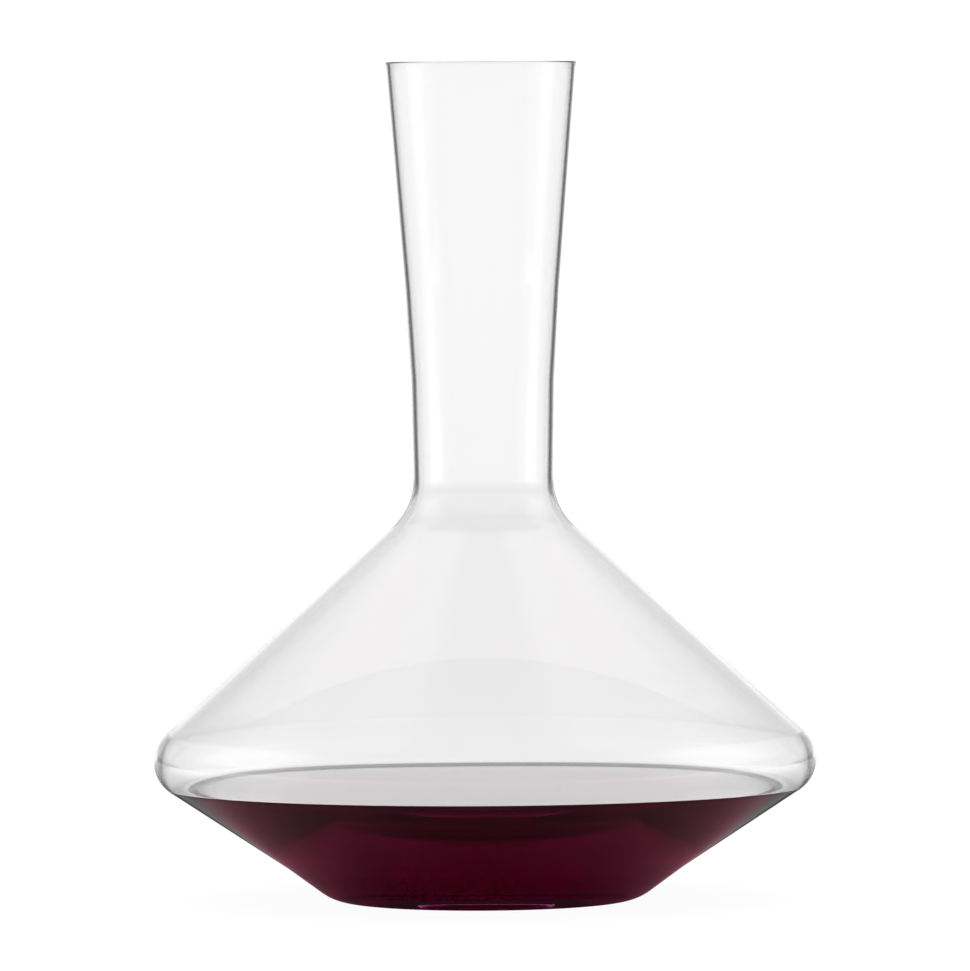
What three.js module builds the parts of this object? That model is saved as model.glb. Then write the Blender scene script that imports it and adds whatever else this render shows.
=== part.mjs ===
// A wine decanter: one blown vessel of clear glass, with red wine standing in it.
// Millimetres, +Z up. The origin is the centre of the foot, on the plane the decanter stands on.
// Both pieces are turned shapes, so each is an outline of corners revolved about +Z.

import * as THREE from 'three';

// ---- Driving dimensions -----------------------------------------------------------------------

const HEIGHT = 264; // foot plane to rim
const SIDES = 48; // flat sides around the axis
const ARC_STEP = THREE.MathUtils.degToRad(10); // the most that an arc turns between two points

// Outer surface, from the middle of the foot up to the rim. A corner is where two straight
// stretches would meet, and its fillet is the radius that rounds it off.
const PUNT_CROWN = { r: 14, z: 2.6, fillet: 100 }; // shallow push-up under the foot
const PUNT_EDGE = { r: 30, z: 0, fillet: 12 };
const FOOT = { r: 47.6, z: 0, fillet: 16 };
const FOOT_FLARE = { r: 62.5, z: 10.9, fillet: 40 }; // the lower cone steepens a little to the foot
const BELLY = { r: 111.3, z: 43, fillet: 11.2 }; // where the two cones meet, the widest part
const SHOULDER = { r: 22.1, z: 123.9, fillet: 19.6 }; // the upper cone turns up into the neck
const NECK = { r: 22.1, z: 164, fillet: 720 }; // the waist, from which the neck opens to the rim
const RIM = { r: 30.1, z: HEIGHT, fillet: 0.5 };

// Inner surface, from the rim down to the floor. The wall is 1.3 mm at the rim, 1.5 mm in the
// neck, 2.1 mm in the upper cone, 2.5 mm at the belly, 1.7 mm in the lower cone and 4 to 5 mm in
// the foot. The inner belly's fillet is nearly the outer one's, so that the wall isn't a lens.
const INNER_RIM = { r: 28.8, z: HEIGHT, fillet: 0.5 };
const INNER_NECK = { r: 20.6, z: 164, fillet: 720 };
const INNER_SHOULDER = { r: 20.6, z: 122.45, fillet: 21.4 };
const INNER_BELLY = { r: 108.2, z: 43, fillet: 10.3 };
const INNER_FLARE = { r: 61, z: 11.95, fillet: 38 };
const FLOOR_EDGE = { r: 49.5, z: 5, fillet: 20 };
const FLOOR_CROWN = { r: 20, z: 6.6, fillet: 200 }; // the floor rises a little over the punt

// Wine
const WINE_LEVEL = 36.4; // height of the wine's surface above the foot plane
const WINE_LIFT = 0.4; // the wine's underside stands this far above the glass

// ---- Outline helpers --------------------------------------------------------------------------

function onAxis(z) {
  return { r: 0, z, fillet: 0 };
}

function direction(from, to) {
  return new THREE.Vector2(to.r - from.r, to.z - from.z).normalize();
}

// The arc that rounds one corner between the directions back and ahead along the outline.
function filletArc(corner, back, ahead) {
  const halfAngle = Math.acos(back.dot(ahead)) / 2;
  const turn = -Math.sign(back.cross(ahead)) * (Math.PI - 2 * halfAngle);
  const tip = new THREE.Vector2(corner.r, corner.z);
  const bisector = back.clone().add(ahead).normalize();
  const centre = bisector.multiplyScalar(corner.fillet / Math.sin(halfAngle)).add(tip);
  const start = back.clone().multiplyScalar(corner.fillet / Math.tan(halfAngle)).add(tip);
  const steps = Math.max(2, Math.ceil(Math.abs(turn) / ARC_STEP));
  const arc = [];
  for (let k = 0; k <= steps; k++) {
    arc.push(start.clone().rotateAround(centre, (turn * k) / steps));
  }
  return arc;
}

// The line through the corners, each one rounded by its own fillet.
function roundedOutline(corners) {
  return corners.flatMap((corner, i) => {
    if (corner.fillet === 0) {
      return [new THREE.Vector2(corner.r, corner.z)];
    }
    return filletArc(corner, direction(corner, corners[i - 1]), direction(corner, corners[i + 1]));
  });
}

// A solid of revolution about +Z. Its outline runs from the axis round to the axis again.
function turned(corners) {
  return new THREE.LatheGeometry(roundedOutline(corners), SIDES).rotateX(Math.PI / 2);
}

function piece(name, geometry, material) {
  const mesh = new THREE.Mesh(geometry, material);
  mesh.name = name;
  return mesh;
}

// ---- Materials --------------------------------------------------------------------------------

function clearGlass() {
  return new THREE.MeshStandardMaterial({
    name: 'clear_glass',
    color: 0xf2f5f4,
    roughness: 0.03,
    metalness: 0,
    transparent: true,
    opacity: 0.35,
  });
}

function redWine() {
  return new THREE.MeshStandardMaterial({
    name: 'red_wine',
    color: 0x3a0514,
    roughness: 0.05,
    metalness: 0,
  });
}

// ---- Pieces -----------------------------------------------------------------------------------

// One wall, out from the middle of the foot to the rim, over the lip and down the inside again.
function decanterGlass() {
  const corners = [
    onAxis(PUNT_CROWN.z),
    PUNT_CROWN,
    PUNT_EDGE,
    FOOT,
    FOOT_FLARE,
    BELLY,
    SHOULDER,
    NECK,
    RIM,
    INNER_RIM,
    INNER_NECK,
    INNER_SHOULDER,
    INNER_BELLY,
    INNER_FLARE,
    FLOOR_EDGE,
    FLOOR_CROWN,
    onAxis(FLOOR_CROWN.z),
  ];
  return piece('decanter_glass', turned(corners), clearGlass());
}

function lifted(corner) {
  return { ...corner, z: corner.z + WINE_LIFT };
}

// Where the wine's surface meets the wall of the lower cone.
function wineEdge() {
  const spread = (INNER_BELLY.r - INNER_FLARE.r) / (INNER_BELLY.z - INNER_FLARE.z);
  const rise = WINE_LEVEL - WINE_LIFT - INNER_FLARE.z;
  return { r: INNER_FLARE.r + rise * spread, z: WINE_LEVEL, fillet: 0 };
}

// The fill takes the shape of the floor and the lower cone, and has a level top.
function wine() {
  const corners = [
    onAxis(FLOOR_CROWN.z + WINE_LIFT),
    lifted(FLOOR_CROWN),
    lifted(FLOOR_EDGE),
    lifted(INNER_FLARE),
    wineEdge(),
    onAxis(WINE_LEVEL),
  ];
  return piece('wine', turned(corners), redWine());
}

// ---- Decanter ---------------------------------------------------------------------------------

const decanter = new THREE.Group();
decanter.name = 'wine_decanter';
decanter.add(decanterGlass());
decanter.add(wine());

export default decanter;
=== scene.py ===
# %% [markdown]
# # A wine decanter
#
# The real object is one vessel of clear blown glass, with red wine standing in its wide belly.
# Both shapes are round, so both can be drawn as half an outline and spun about the upright
# axis, much as a glass mould is turned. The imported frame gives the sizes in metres, with +Z up
# and the middle of the foot at the origin.

# %% Load the frame
import math

import bpy
from mathutils import Matrix, Vector


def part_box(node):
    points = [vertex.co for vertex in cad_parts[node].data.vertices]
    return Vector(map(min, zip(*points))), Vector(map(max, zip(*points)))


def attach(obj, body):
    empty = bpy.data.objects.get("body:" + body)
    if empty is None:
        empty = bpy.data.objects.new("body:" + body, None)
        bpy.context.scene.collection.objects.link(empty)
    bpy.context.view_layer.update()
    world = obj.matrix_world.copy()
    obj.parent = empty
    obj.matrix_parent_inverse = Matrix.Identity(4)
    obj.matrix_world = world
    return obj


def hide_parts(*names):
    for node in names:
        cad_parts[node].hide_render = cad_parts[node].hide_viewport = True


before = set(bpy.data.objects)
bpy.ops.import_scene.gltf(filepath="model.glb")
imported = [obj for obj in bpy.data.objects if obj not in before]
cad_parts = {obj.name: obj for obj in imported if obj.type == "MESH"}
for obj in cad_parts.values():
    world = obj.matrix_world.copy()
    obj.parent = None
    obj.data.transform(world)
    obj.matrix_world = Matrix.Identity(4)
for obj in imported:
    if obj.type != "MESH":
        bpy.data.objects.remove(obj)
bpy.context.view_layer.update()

glass_low, glass_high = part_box("decanter_glass")
wine_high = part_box("wine")[1]
print("glass, metres:", [round(v, 4) for v in glass_high - glass_low])
print("the wine stands", round(wine_high.z, 4), "above the table")

# %% [markdown]
# ## Drawing a rounded outline
#
# A blown wall has no sharp corner. Its outline could be traced with many points, but a few
# corners, each with the radius that rounds it, are easier to read and to change. The helpers
# below replace a corner with an arc that runs smoothly into the straight stretches on both
# sides. The straight stretches are cut into short steps too, so that smooth shading bends the
# surface only near the arcs.

# %% The direction from one corner to the next
def toward(start, end):
    return Vector((end[0] - start[0], end[1] - start[1])).normalized()


print("straight up is", tuple(toward((0, 0), (0, 1))))

# %% The arc that rounds one corner
ARC_STEP = math.radians(3)


def fillet_arc(corner, back, ahead):
    """Points of the arc at a corner (r, z, radius), between the directions back and ahead."""
    r, z, radius = corner
    half = back.angle(ahead) / 2
    side = back.x * ahead.y - back.y * ahead.x
    turn = -math.copysign(math.pi - 2 * half, side)
    centre = Vector((r, z)) + (back + ahead).normalized() * radius / math.sin(half)
    spoke = Vector((r, z)) + back * radius / math.tan(half) - centre
    steps = max(2, math.ceil(abs(turn) / ARC_STEP))
    return [centre + Matrix.Rotation(turn * k / steps, 2) @ spoke for k in range(steps + 1)]


square_corner = fillet_arc((1, 1, 0.5), Vector((-1, 0)), Vector((0, 1)))
print("a right angle is rounded by", len(square_corner), "points")

# %% A whole outline
STRAIGHT_STEP = 0.003


def rounded_outline(corners):
    """The (r, z) points of a line whose corners are (r, z, radius); radius 0 is left sharp."""
    points = []
    for i, corner in enumerate(corners):
        arc = [Vector(corner[:2])]
        if corner[2] > 0:
            back = toward(corner, corners[i - 1])
            arc = fillet_arc(corner, back, toward(corner, corners[i + 1]))
        if points:
            gap = arc[0] - points[-1]
            pieces = max(1, round(gap.length / STRAIGHT_STEP))
            points += [points[-1] + gap * k / pieces for k in range(1, pieces)]
        points += arc
    return points


print("corners become arcs of", round(math.degrees(ARC_STEP)), "degrees a step")

# %% [markdown]
# ## Spinning an outline
#
# A round solid can be made with a Screw modifier, a curve or the Spin tool. Spin is used here
# because it works like a lathe: one vertex is extruded along the outline, and the finished line
# is swept a full turn about +Z. The first and last copies meet, and the points on the axis fall
# together, so merging doubles closes the seam and both poles. The faces are turned outwards
# after that.

# %% Lathe one solid
SPIN_STEPS = 160
SEED_SIZE = 0.001
WELD = 0.000005


def spin_solid(name, points):
    """A closed solid of revolution from an outline that starts and ends on the axis."""
    bpy.ops.object.select_all(action="DESELECT")
    bpy.ops.mesh.primitive_plane_add(size=SEED_SIZE, location=(points[0].x, 0, points[0].y))
    piece = bpy.context.object
    piece.name = name
    piece.data.name = name
    bpy.ops.object.mode_set(mode="EDIT")
    bpy.ops.mesh.merge(type="CENTER")
    bpy.ops.mesh.select_mode(type="VERT")
    for here, there in zip(points, points[1:]):
        step = (there.x - here.x, 0, there.y - here.y)
        bpy.ops.mesh.extrude_region_move(TRANSFORM_OT_translate={"value": step})
    bpy.ops.mesh.select_all(action="SELECT")
    bpy.ops.mesh.spin(steps=SPIN_STEPS, angle=2 * math.pi, center=(0, 0, 0), axis=(0, 0, 1))
    bpy.ops.mesh.select_all(action="SELECT")
    bpy.ops.mesh.remove_doubles(threshold=WELD)
    bpy.ops.mesh.normals_make_consistent(inside=False)
    bpy.ops.object.mode_set(mode="OBJECT")
    bpy.ops.object.transform_apply(location=True, rotation=True, scale=True)
    bpy.ops.object.shade_smooth()
    print(name, "has", len(piece.data.vertices), "vertices from", len(points), "outline points")
    return piece


print("a full turn is", SPIN_STEPS, "steps")

# %% [markdown]
# ## The glass vessel
#
# The wall runs from the middle of the foot out to the wide shoulder of the belly, back in
# along a straight cone, and up the flared neck to the pouring lip. The inside follows it down
# again and ends in a low dome, the punt. A shell could be given its thickness by Solidify, but
# real blown glass is thicker in the base than in the neck. Drawing both walls in one line
# keeps that, and gives the lip its small round-over. Where the wine will touch, the wall gets a
# ring of vertices of its own, so that wetted and dry glass can meet in a clean line.

# %% The outside wall, from the foot to the lip
HEIGHT = glass_high.z
outer_wall = [
    (0, 0.0026, 0),
    (0.014, 0.0026, 0.1),
    (0.030, 0, 0.012),
    (0.0476, 0, 0.016),
    (0.0625, 0.0109, 0.04),
    (0.1113, 0.043, 0.0112),
    (0.0221, 0.1239, 0.0196),
    (0.0221, 0.164, 0.72),
    (0.0301, HEIGHT, 0.0006),
]
print("the outside wall has", len(outer_wall), "corners")

# %% The inside wall, from the lip to the punt
inner_wall = [
    (0.0288, HEIGHT, 0.0006),
    (0.0206, 0.164, 0.72),
    (0.0206, 0.12245, 0.0214),
    (0.1082, 0.043, 0.0103),
    (0.061, 0.01195, 0.038),
    (0.0495, 0.005, 0.02),
    (0.020, 0.0066, 0.2),
    (0, 0.0066, 0),
]
print("the neck's wall is", round((outer_wall[7][0] - inner_wall[1][0]) * 1000, 1), "mm thick")

# %% Find where the wine will touch the inside wall
LEVEL = wine_high.z
CLIMB = 0.0008
CONTACT = LEVEL + CLIMB
wall_outline = rounded_outline(outer_wall + inner_wall)
lip = max(range(len(wall_outline)), key=lambda i: wall_outline[i].y)
next_down = next(i for i in range(lip, len(wall_outline)) if wall_outline[i].y < CONTACT)
high = wall_outline[next_down - 1]
low = wall_outline[next_down]
touch = high.lerp(low, (high.y - CONTACT) / (high.y - low.y))
print("the wine meets the glass at radius", round(touch.x, 4), "height", round(touch.y, 4))

# %% Give the glass a ring of vertices there, and spin it
wall_outline.insert(next_down, touch)
decanter = spin_solid("decanter", wall_outline)
print("the vessel is", round(max(p.x for p in wall_outline) * 2, 4), "across")

# %% [markdown]
# ## The wine
#
# The wine fills the belly up to its widest part. It could be a copy of the inside of the glass
# cut off flat, but wine creeps up a wall it wets, and that curved edge, the meniscus, catches a
# line of light all round. So its outline follows the inside wall, a hair clear of it, and then
# comes back to the axis along a surface that curls up at the glass.

# %% The wetted side of the wine
CLEARANCE = 0.00004


def lifted_off(point):
    """The place beside a point of the wall, a hair clear of the glass."""
    return Vector((max(0, point.x - CLEARANCE), point.y + CLEARANCE))


under_side = [lifted_off(p) for p in reversed(wall_outline[lip:]) if p.y < CONTACT - CLEARANCE]
print("the wetted side has", len(under_side), "points")

# %% The free surface with its meniscus
REACH = 0.0012
MENISCUS_SPAN = 0.018
MENISCUS_STEPS = 40
FLAT_STEPS = 25
surface = []
for k in range(MENISCUS_STEPS + 1):
    back = MENISCUS_SPAN * (k / MENISCUS_STEPS) ** 2
    rise = CLIMB * math.exp(-back / REACH)
    surface.append(Vector((touch.x - CLEARANCE - back, LEVEL + rise)))
flat_radius = surface[-1].x
for k in range(1, FLAT_STEPS + 1):
    surface.append(Vector((flat_radius * (1 - k / FLAT_STEPS), LEVEL)))
print("the wine climbs the glass by", round((surface[0].y - surface[-1].y) * 1000, 2), "mm")

# %% Spin the wine
wine = spin_solid("wine_fill", under_side + surface)

# %% [markdown]
# ## Two small tools for materials
#
# Node trees are quicker to read in code when adding a node takes one line. The first helper
# puts a number on a socket or links another node's output to it, whichever it is given. The
# second adds a node with its settings and inputs.

# %% Feed a socket
def feed(tree, socket, value):
    """Links value when it is another node's output, and sets it otherwise."""
    if isinstance(value, bpy.types.NodeSocket):
        tree.links.new(value, socket)
    else:
        socket.default_value = value


print("feed() sets a number or makes a link")

# %% Add a node
def add_node(tree, kind, inputs, **settings):
    """Adds a shader node; inputs are sockets by name or number."""
    node = tree.nodes.new("ShaderNode" + kind)
    for name, value in settings.items():
        setattr(node, name, value)
    for key, value in inputs.items():
        feed(tree, node.inputs[key], value)
    return node


print("add_node() places a node and feeds its inputs")

# %% [markdown]
# ## Shared effect: the blown surface
#
# Glass that was blown and spun is never quite even. Very shallow waves, wider than they are
# tall, cross it, and they make straight reflections tremble. Both kinds of glass below and the
# wine's surface need such waves, each with its own size and depth, so the effect is a node
# group. It puts out a height in metres, and each material turns that into a normal with its own
# Bump node.

# %% Build the node group
waves = bpy.data.node_groups.new("blown_waves", "ShaderNodeTree")
waves.interface.new_socket("Waves per metre", in_out="INPUT", socket_type="NodeSocketFloat")
waves.interface.new_socket("Depth", in_out="INPUT", socket_type="NodeSocketFloat")
waves.interface.new_socket("Height", in_out="OUTPUT", socket_type="NodeSocketFloat")
WAVE_SHAPE = (1, 1, 1.6)
entry = waves.nodes.new("NodeGroupInput")
leave = waves.nodes.new("NodeGroupOutput")
place = add_node(waves, "TexCoord", {})
stretch = add_node(waves, "Mapping", {"Vector": place.outputs["Object"], "Scale": WAVE_SHAPE})
noise_inputs = {"Vector": stretch.outputs["Vector"], "Scale": entry.outputs["Waves per metre"]}
noise = add_node(waves, "TexNoise", {**noise_inputs, "Detail": 0.0})
depth_inputs = {0: noise.outputs["Fac"], 1: entry.outputs["Depth"]}
height = add_node(waves, "Math", depth_inputs, operation="MULTIPLY")
waves.links.new(height.outputs["Value"], leave.inputs["Height"])
print("blown_waves has", len(waves.nodes), "nodes")

# %% Put the waves in a material
BUMP_METRE = 1.0


def add_waves(tree, shader, per_metre, depth):
    """Bends a shader's normal by waves of a depth in metres."""
    group = add_node(tree, "Group", {}, node_tree=waves)
    group.inputs["Waves per metre"].default_value = per_metre
    group.inputs["Depth"].default_value = depth
    bump = add_node(tree, "Bump", {"Height": group.outputs["Height"], "Distance": BUMP_METRE})
    tree.links.new(bump.outputs["Normal"], shader.inputs["Normal"])


print("a material gets the waves with add_waves()")

# %% [markdown]
# ## Clear glass, dry and wetted
#
# Fine crystal glass is nearly colourless, and light bends on its way in and out. A material
# only knows one change of index at each surface. Where wine lies against the glass, light goes
# from glass into wine, not into air, and bends much less. So the vessel gets two materials with
# the same finish: `clear_glass` towards air, and `glass_against_wine`, whose index is the ratio
# of the two.

# %% Make a glass
GLASS_TINT = (0.995, 0.998, 0.996, 1)
GLASS_WAVES_PER_METRE = 22
GLASS_WAVE_DEPTH = 0.00003


def new_material(name):
    material = bpy.data.materials.new(name)
    material.use_nodes = True
    return material, material.node_tree, material.node_tree.nodes["Principled BSDF"]


def glass_material(name, ior):
    material, tree, shader = new_material(name)
    shader.inputs["Base Color"].default_value = GLASS_TINT
    shader.inputs["Roughness"].default_value = 0.0
    shader.inputs["Transmission Weight"].default_value = 1.0
    shader.inputs["IOR"].default_value = ior
    add_waves(tree, shader, GLASS_WAVES_PER_METRE, GLASS_WAVE_DEPTH)
    print(name, "bends light by an index of", round(ior, 3))
    return material


# %% The two glasses
GLASS_IOR = 1.52
WINE_IOR = 1.345
decanter.data.materials.append(glass_material("clear_glass", GLASS_IOR))
decanter.data.materials.append(glass_material("glass_against_wine", GLASS_IOR / WINE_IOR))

# %% Mark the wetted faces
FACING_UP = 0.1
for face in decanter.data.polygons:
    if face.center.z < CONTACT and face.normal.z > FACING_UP:
        face.material_index = 1
print("wetted faces:", sum(face.material_index for face in decanter.data.polygons))

# %% [markdown]
# ## Red wine
#
# Wine has no colour of its own on its skin. Light loses green first, then blue, and red last,
# the further it travels inside, so a thin edge is rosy and the middle almost black. Volume
# Absorption does exactly that. The glass beside the wine has already bent the light, so the
# wetted faces of the wine bend it no further: each face carries a number, 1 for the open
# surface and 0 for the wetted side, and the material reads its index from it.

# %% Mark the open surface
wine_faces = wine.data.polygons
mark = wine.data.attributes.new("open_surface", "FLOAT", "FACE")
mark.data.foreach_set("value", [float(face.normal.z > 0) for face in wine_faces])
print("open faces:", sum(face.normal.z > 0 for face in wine_faces), "of", len(wine_faces))

# %% The wine's surface
WINE_WAVES_PER_METRE = 14
WINE_WAVE_DEPTH = 0.00001
wine_material, tree, shader = new_material("red_wine")
shader.inputs["Base Color"].default_value = (1, 1, 1, 1)
shader.inputs["Roughness"].default_value = 0.0
shader.inputs["Transmission Weight"].default_value = 1.0
shader.inputs["IOR"].default_value = WINE_IOR
open_face = add_node(tree, "Attribute", {}, attribute_name="open_surface")
index_inputs = {"Value": open_face.outputs["Fac"], "To Min": 1.0, "To Max": WINE_IOR}
index = add_node(tree, "MapRange", index_inputs)
tree.links.new(index.outputs["Result"], shader.inputs["IOR"])
add_waves(tree, shader, WINE_WAVES_PER_METRE, WINE_WAVE_DEPTH)
print("the open wine bends light by an index of", WINE_IOR)

# %% The wine's depth of colour
WINE_RED = (0.815, 0.42, 0.71, 1)
WINE_DENSITY = 120
SIP_DEPTH = 0.02
absorb = add_node(tree, "VolumeAbsorption", {})
absorb.inputs["Color"].default_value = WINE_RED
absorb.inputs["Density"].default_value = WINE_DENSITY
tree.links.new(absorb.outputs["Volume"], tree.nodes["Material Output"].inputs["Volume"])
wine.data.materials.append(wine_material)
kept = [math.exp(-(1 - part) * WINE_DENSITY * SIP_DEPTH) for part in WINE_RED[:3]]
print("after 20 mm of wine, red, green and blue keep", [round(part, 2) for part in kept])

# %% Hand the pieces over
pieces = ((decanter, "decanter_glass", "clear_glass"), (wine, "wine", "red_wine"))
for piece, node_name, slot_name in pieces:
    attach(piece, "root")
    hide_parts(node_name)
    print(piece.name, "stands for", node_name)

# %% [markdown]
# ## The table
#
# The vessel stands on plain pale paper that runs on out of sight. Glass shows whatever is
# around it, so the paper matters twice. Seen directly it is an even white, lit from behind like
# a light table, with a little plain diffuse paper in it that takes the vessel's soft shadow.
# Seen in the glass, it carries a painted shadow and painted rosy light: it gets darker and
# rosier towards the foot, where the vessel and the wine stand in the way of the light. One
# material can do both, because Light Path tells a ray from the camera from every other ray. It
# also counts how often a ray was mirrored: a ray that went straight through the glass sees
# bright paper sooner, so that the clear glass stays clear. The mirrored paper also has two
# painted dark patches, in place of dark cards, that draw the edges of the belly, and painted
# shade at the camera's end.

# %% Lay the paper
PAPER_RADIUS = 1.4
PAPER_CORNERS = 96
bpy.ops.object.select_all(action="DESELECT")
bpy.ops.mesh.primitive_circle_add(
    vertices=PAPER_CORNERS, radius=PAPER_RADIUS, fill_type="NGON"
)
floor = bpy.context.object
floor.name = "floor"
print("the paper is", 2 * PAPER_RADIUS, "across")

# %% A ramp from a few stops
def set_stops(ramp, stops, reach):
    """Sets a colour ramp from (place, brightness) stops, with places from 0 to reach."""
    while len(ramp.elements) > 1:
        ramp.elements.remove(ramp.elements[-1])
    ramp.elements[0].position = stops[0][0] / reach
    for place, value in stops[1:]:
        ramp.elements.new(place / reach)
    for stop, (place, value) in zip(ramp.elements, stops):
        stop.color = (value, value, value, 1)


print("set_stops() fills a colour ramp")

# %% The paper as the camera sees it
floor_material, tree, shader = new_material("floor_paper")
tree.nodes.remove(shader)
PAPER_WHITE = 1.03
PAPER_GLOW = 0.93
PAPER_COLOUR = (0.85, 0.85, 0.85, 1)
paper = add_node(tree, "BsdfDiffuse", {"Color": PAPER_COLOUR})
lit_from_below = add_node(tree, "Emission", {"Strength": PAPER_WHITE})
seen_parts = {0: PAPER_GLOW, 1: paper.outputs[0], 2: lit_from_below.outputs[0]}
seen = add_node(tree, "MixShader", seen_parts)
print("the paper glows for", PAPER_GLOW, "of its light")

# %% How far a place on the paper is from the foot
SHADOW_CENTRE = (0, -0.03, 0)
place = add_node(tree, "TexCoord", {})
shift_inputs = {0: place.outputs["Object"], 1: SHADOW_CENTRE}
shift = add_node(tree, "VectorMath", shift_inputs, operation="SUBTRACT")
distance = add_node(tree, "VectorMath", {0: shift.outputs["Vector"]}, operation="LENGTH")
print("the shadow lies", -SHADOW_CENTRE[1] * 1000, "mm in front of the foot")

# %% The same, for a painted shadow that is narrow from left to right
NARROWING = (1.7, 1, 1)
narrow_inputs = {0: shift.outputs["Vector"], 1: NARROWING}
narrow = add_node(tree, "VectorMath", narrow_inputs, operation="MULTIPLY")
narrow_distance = add_node(tree, "VectorMath", {0: narrow.outputs["Vector"]}, operation="LENGTH")
print("straight through the glass, the shadow is narrower by", NARROWING[0])

# %% The painted shadow on the paper around the foot
def painted_paper_light(from_foot, stops):
    """Painted light and shadow: brightness from (metres, value) stops along a distance."""
    near_inputs = {"Value": from_foot.outputs["Value"], "From Max": PAPER_RADIUS}
    near = add_node(tree, "MapRange", near_inputs)
    ramp = add_node(tree, "ValToRGB", {"Fac": near.outputs["Result"]})
    set_stops(ramp.color_ramp, stops, PAPER_RADIUS)
    return ramp.outputs["Color"]


# These stops paint the vessel's shadow into the paper's glow: dim near the foot, brighter further
# out.
MIRROR_SHADOW_STOPS = (
    (0.03, 0.006),
    (0.045, 0.035),
    (0.06, 0.07),
    (0.09, 0.12),
    (0.12, 0.23),
    (0.22, 0.27),
    (0.3, 0.4),
    (0.5, 0.72),
    (1.0, 1.0),
)
STRAIGHT_SHADOW_STOPS = MIRROR_SHADOW_STOPS[:4] + ((0.12, 0.19), (0.21, 0.19), (0.26, 0.85), (0.36, 1.0))
painted_shadow_in_mirror = painted_paper_light(distance, MIRROR_SHADOW_STOPS)
straight = painted_paper_light(narrow_distance, STRAIGHT_SHADOW_STOPS)
print("the mirrored paper has", len(MIRROR_SHADOW_STOPS), "stops of light")

# %% Painted shade at the camera's end of the table
# Painted shade: the mirrored paper's glow is made darker towards the camera.
NEAR_END = -0.7
NEAR_START = -0.25
NEAR_LIGHT = 0.1
along = add_node(tree, "SeparateXYZ", {0: place.outputs["Object"]})
end_inputs = {"Value": along.outputs["Y"], "From Min": NEAR_END, "From Max": NEAR_START}
end_inputs["To Min"] = NEAR_LIGHT
end = add_node(tree, "MapRange", end_inputs, interpolation_type="SMOOTHSTEP")
shaded_inputs = {0: painted_shadow_in_mirror, 1: end.outputs["Result"]}
painted_end_shade = add_node(tree, "Math", shaded_inputs, operation="MULTIPLY")
print("towards the camera the mirrored paper is dark beyond", -NEAR_END)

# %% Where a place lies around the foot, in radians from straight behind it
aside = add_node(tree, "Math", {0: along.outputs["X"]}, operation="ABSOLUTE")
round_inputs = {0: aside.outputs["Value"], 1: along.outputs["Y"]}
around_foot = add_node(tree, "Math", round_inputs, operation="ARCTAN2")
print("left and right count the same")

# %% Two painted dark patches, in place of dark cards, left and right behind the vessel
# Painted shade: two dark bands painted into the mirrored paper's glow, where a studio would set
# dark cards.
CARD_INNER = (17, 23)
CARD_OUTER = (38, 46)
PAINTED_CARD_SHADE = 0.65


def card_edge(degrees, before, after):
    """Goes softly from before to after between two angles around the foot."""
    inputs = {"Value": around_foot.outputs["Value"], "To Min": before, "To Max": after}
    inputs["From Min"] = math.radians(degrees[0])
    inputs["From Max"] = math.radians(degrees[1])
    return add_node(tree, "MapRange", inputs, interpolation_type="SMOOTHSTEP").outputs["Result"]


inner = card_edge(CARD_INNER, 0, PAINTED_CARD_SHADE)
card = add_node(tree, "Math", {0: inner, 1: card_edge(CARD_OUTER, 1, 0)}, operation="MULTIPLY")
uncovered = add_node(tree, "Math", {0: 1.0, 1: card.outputs["Value"]}, operation="SUBTRACT")
carded_inputs = {0: painted_end_shade.outputs["Value"], 1: uncovered.outputs["Value"]}
with_painted_cards = add_node(tree, "Math", carded_inputs, operation="MULTIPLY")
print("each card covers", CARD_INNER[1], "to", CARD_OUTER[0], "degrees")

# %% Choose by how often the ray was mirrored
BETWEEN_NONE_AND_ONE = 0.5


def was_mirrored(tree, path):
    """1 for a ray that was mirrored at least once, 0 for one that went straight through."""
    inputs = {0: path.outputs["Glossy Depth"], 1: BETWEEN_NONE_AND_ONE}
    return add_node(tree, "Math", inputs, operation="GREATER_THAN").outputs["Value"]


# A Mix node has its numbers in places 2 and 3, and its colours in 6 and 7.
# The painted shadow takes its stops by whether the ray was mirrored or went straight through.
path = add_node(tree, "LightPath", {})
light_inputs = {0: was_mirrored(tree, path), 2: straight, 3: with_painted_cards.outputs["Value"]}
light = add_node(tree, "Mix", light_inputs, data_type="FLOAT")
print("a mirrored ray has a glossy depth of 1 or more")

# %% The painted rosy light that comes through the wine
# Painted light: the paper's glow near the foot is given a rose colour.
PAINTED_ROSE_LIGHT = (2.3, 0.8, 1.1, 1)
ROSE_EDGE = 0.08
WHITE_EDGE = 0.15
rose_inputs = {"Value": distance.outputs["Value"], "From Min": ROSE_EDGE, "From Max": WHITE_EDGE}
clear_of_wine = add_node(tree, "MapRange", rose_inputs, interpolation_type="SMOOTHSTEP")
tint_inputs = {0: clear_of_wine.outputs["Result"], 6: PAINTED_ROSE_LIGHT, 7: (1, 1, 1, 1)}
painted_rose_tint = add_node(tree, "Mix", tint_inputs, data_type="RGBA")
print("the light turns from rose to white at", ROSE_EDGE, "to", WHITE_EDGE)

# %% Join the two: the painted light and shade of the paper in the glass, and the glowing paper the camera sees
in_glass_parts = {"Color": painted_rose_tint.outputs[2], "Strength": light.outputs[0]}
painted_paper_in_glass = add_node(tree, "Emission", in_glass_parts)
both_parts = {0: path.outputs["Is Camera Ray"], 1: painted_paper_in_glass.outputs[0], 2: seen.outputs[0]}
both = add_node(tree, "MixShader", both_parts)
tree.links.new(both.outputs[0], tree.nodes["Material Output"].inputs["Surface"])
floor.data.materials.append(floor_material)
print("floor_paper has", len(tree.nodes), "nodes")

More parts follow.
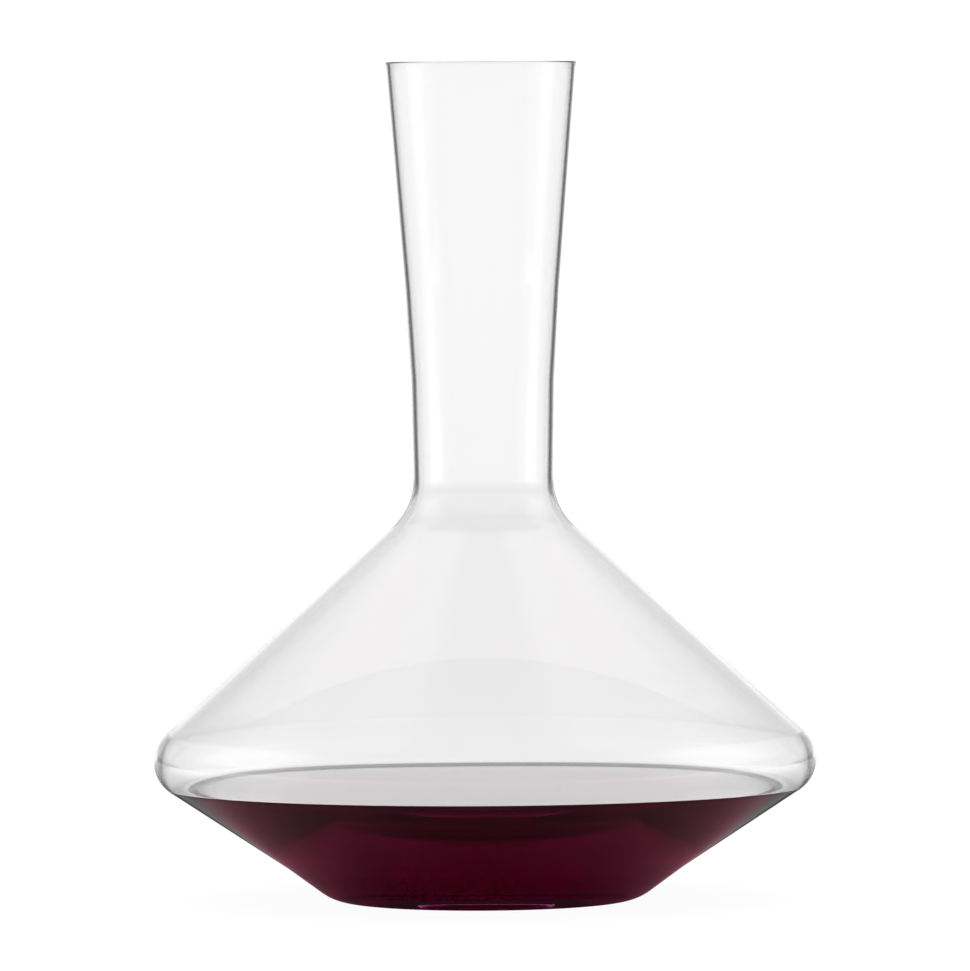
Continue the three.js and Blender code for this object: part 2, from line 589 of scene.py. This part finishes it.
# %% [markdown]
# ## The studio around it
#
# Glass is lit by its surroundings more than by any lamp. Photographers of glass use a bright
# field: a white wall behind, dark cards left and right of it to draw the edges, large soft
# boxes at the sides for the highlights, and darkness behind the camera. Real walls and lamps
# could be built, but a world that changes with direction is simpler and has no noise. Four
# rings of soft stops give its brightness around the horizon, just above it, higher up, and near
# the top. Each runs from straight behind the vessel, 0 degrees, round to the camera's side,
# 180, and is the same to the left and to the right.

# %% Start the world
world = bpy.data.worlds.new("studio")
bpy.context.scene.world = world
world.use_nodes = True
sky = world.node_tree
background = sky.nodes["Background"]
background.inputs["Color"].default_value = (1, 1, 1, 1)
direction = add_node(sky, "TexCoord", {})
split = add_node(sky, "SeparateXYZ", {0: direction.outputs["Generated"]})
print("the world starts with", len(sky.nodes), "nodes")

# %% Which way a direction points, from 0 behind the vessel to 1 at the camera's side
aside = add_node(sky, "Math", {0: split.outputs["X"]}, operation="ABSOLUTE")
turn_inputs = {0: aside.outputs["Value"], 1: split.outputs["Y"]}
turn = add_node(sky, "Math", turn_inputs, operation="ARCTAN2")
half_turn = add_node(sky, "Math", {0: turn.outputs["Value"], 1: math.pi}, operation="DIVIDE")
print("a full half turn is 1")

# %% A ring of light
HALF_CIRCLE = 180


def light_ring(stops):
    """Brightness from (degrees, value) stops, with soft steps between them."""
    node = add_node(sky, "ValToRGB", {"Fac": half_turn.outputs["Value"]})
    node.color_ramp.interpolation = "EASE"
    set_stops(node.color_ramp, stops, HALF_CIRCLE)
    return node.outputs["Color"]


print("a ring runs over", HALF_CIRCLE, "degrees")

# %% A soft step with height, and a blend
def climb(heights, before=0.0, after=1.0):
    """Goes softly from before to after between two heights, in degrees above the horizon."""
    inputs = {"Value": split.outputs["Z"], "To Min": before, "To Max": after}
    inputs["From Min"] = math.sin(math.radians(heights[0]))
    inputs["From Max"] = math.sin(math.radians(heights[1]))
    return add_node(sky, "MapRange", inputs, interpolation_type="SMOOTHSTEP").outputs["Result"]


def blend(factor, a, b):
    return add_node(sky, "Mix", {0: factor, 2: a, 3: b}, data_type="FLOAT").outputs[0]


print("climb() and blend() are ready")

# %% The four rings
HORIZON = (
    (0, 1.1), (15, 1.1), (22, 0.15), (40, 0.15), (49, 0.6), (74, 0.5), (84, 1.05), (96, 1.05),
    (106, 0.4), (125, 0.1),
)
WALL = ((0, 1.06), (8, 1.04), (14, 0.72), (40, 0.72), (53, 0.65), (76, 0.5), (106, 0.3), (125, 0.1))
SOFT_BOXES = (
    (0, 1.05), (8, 1.02), (14, 0.72), (40, 0.72), (53, 0.8), (63, 1.05), (75, 1.1), (90, 0.9),
    (108, 0.3), (125, 0.1),
)
TOP = ((0, 0.7), (50, 0.55), (90, 0.3), (120, 0.1))
print("the wall behind is", WALL[0][1], "bright, the soft boxes", SOFT_BOXES[6][1])

# %% Stack the rings
ZENITH = 0.1
HORIZON_RISE = (-24, 0)
WALL_RISE = (-1, 2.5)
BOXES_RISE = (8, 16)
TOP_RISE = (42, 60)
ZENITH_RISE = (72, 85)
below_inputs = {0: light_ring(HORIZON), 1: climb(HORIZON_RISE)}
below = add_node(sky, "Math", below_inputs, operation="MULTIPLY")
studio = blend(climb(WALL_RISE), below.outputs["Value"], light_ring(WALL))
studio = blend(climb(BOXES_RISE), studio, light_ring(SOFT_BOXES))
studio = blend(climb(TOP_RISE), studio, light_ring(TOP))
studio = blend(climb(ZENITH_RISE), studio, ZENITH)
print("straight up it is dark:", ZENITH)

# %% [markdown]
# ## Soft light and a white room
#
# The paper needs a soft light from above, so diffuse rays see a large bright dome and nothing
# else. The camera sees a plain white room behind the vessel. Rays that went straight through
# the glass towards the camera's side see that room too, so the glass stays clear from behind.

# %% Light for the paper and for the camera
DOME_RISE = (35, 60)
DOME_EDGE = 0.05
DOME_LIGHT = 2.6
ROOM_WHITE = 1.15
ROOM_IN_GLASS = 1.05
ROOM_START = 110 / HALF_CIRCLE
ROOM_END = 130 / HALF_CIRCLE
ray = add_node(sky, "LightPath", {})
turned = half_turn.outputs["Value"]
room_inputs = {"Value": turned, "From Min": ROOM_START, "From Max": ROOM_END}
room = add_node(sky, "MapRange", room_inputs, interpolation_type="SMOOTHSTEP")
through = blend(room.outputs["Result"], studio, ROOM_IN_GLASS)
around = blend(was_mirrored(sky, ray), through, studio)
dome = climb(DOME_RISE, DOME_EDGE, DOME_LIGHT)
with_dome = blend(ray.outputs["Is Diffuse Ray"], around, dome)
whole = blend(ray.outputs["Is Camera Ray"], with_dome, ROOM_WHITE)
sky.links.new(whole, background.inputs["Strength"])
print("the studio has", len(sky.nodes), "nodes")

# %% [markdown]
# ## The camera
#
# A long lens from far off keeps the upright sides nearly parallel, as in catalogue pictures. The
# camera stands slightly above the shoulder and looks a little down on the wine. A small roll
# matches the tilt of a hand-held camera.

# %% Place the camera
VIEW_DISTANCE = 3.5
VIEW_HEIGHT = 0.268
VIEW_ASIDE = 0.0005
AIM_HEIGHT = 0.1307
ROLL = math.radians(0.36)
LENS = 413
SENSOR = 36
FAR_END = 500
camera_data = bpy.data.cameras.new("camera")
camera = bpy.data.objects.new("camera", camera_data)
bpy.context.scene.collection.objects.link(camera)
camera_data.sensor_width = SENSOR
camera_data.lens = LENS
camera_data.clip_end = FAR_END
camera.location = (VIEW_ASIDE, -VIEW_DISTANCE, VIEW_HEIGHT)
aim = Vector((VIEW_ASIDE, 0, AIM_HEIGHT)) - camera.location
look = aim.to_track_quat("-Z", "Y").to_matrix() @ Matrix.Rotation(-ROLL, 3, "Z")
camera.rotation_euler = look.to_euler()
bpy.context.scene.camera = camera
print("the camera looks down by", round(math.degrees(math.atan2(-aim.z, aim.y)), 1), "degrees")

# %% [markdown]
# ## Light paths
#
# Light crosses four glass walls and the wine, and bounces inside the thick base, so it needs
# more bounces than usual. The Standard view keeps white paper white.

# %% Set the bounces and the view
GLASS_BOUNCES = 32
OTHER_BOUNCES = 16
scene = bpy.context.scene
scene.view_settings.view_transform = "Standard"
scene.cycles.max_bounces = GLASS_BOUNCES
scene.cycles.transmission_bounces = GLASS_BOUNCES
scene.cycles.glossy_bounces = OTHER_BOUNCES
scene.cycles.transparent_max_bounces = OTHER_BOUNCES
print("light may bounce", GLASS_BOUNCES, "times")
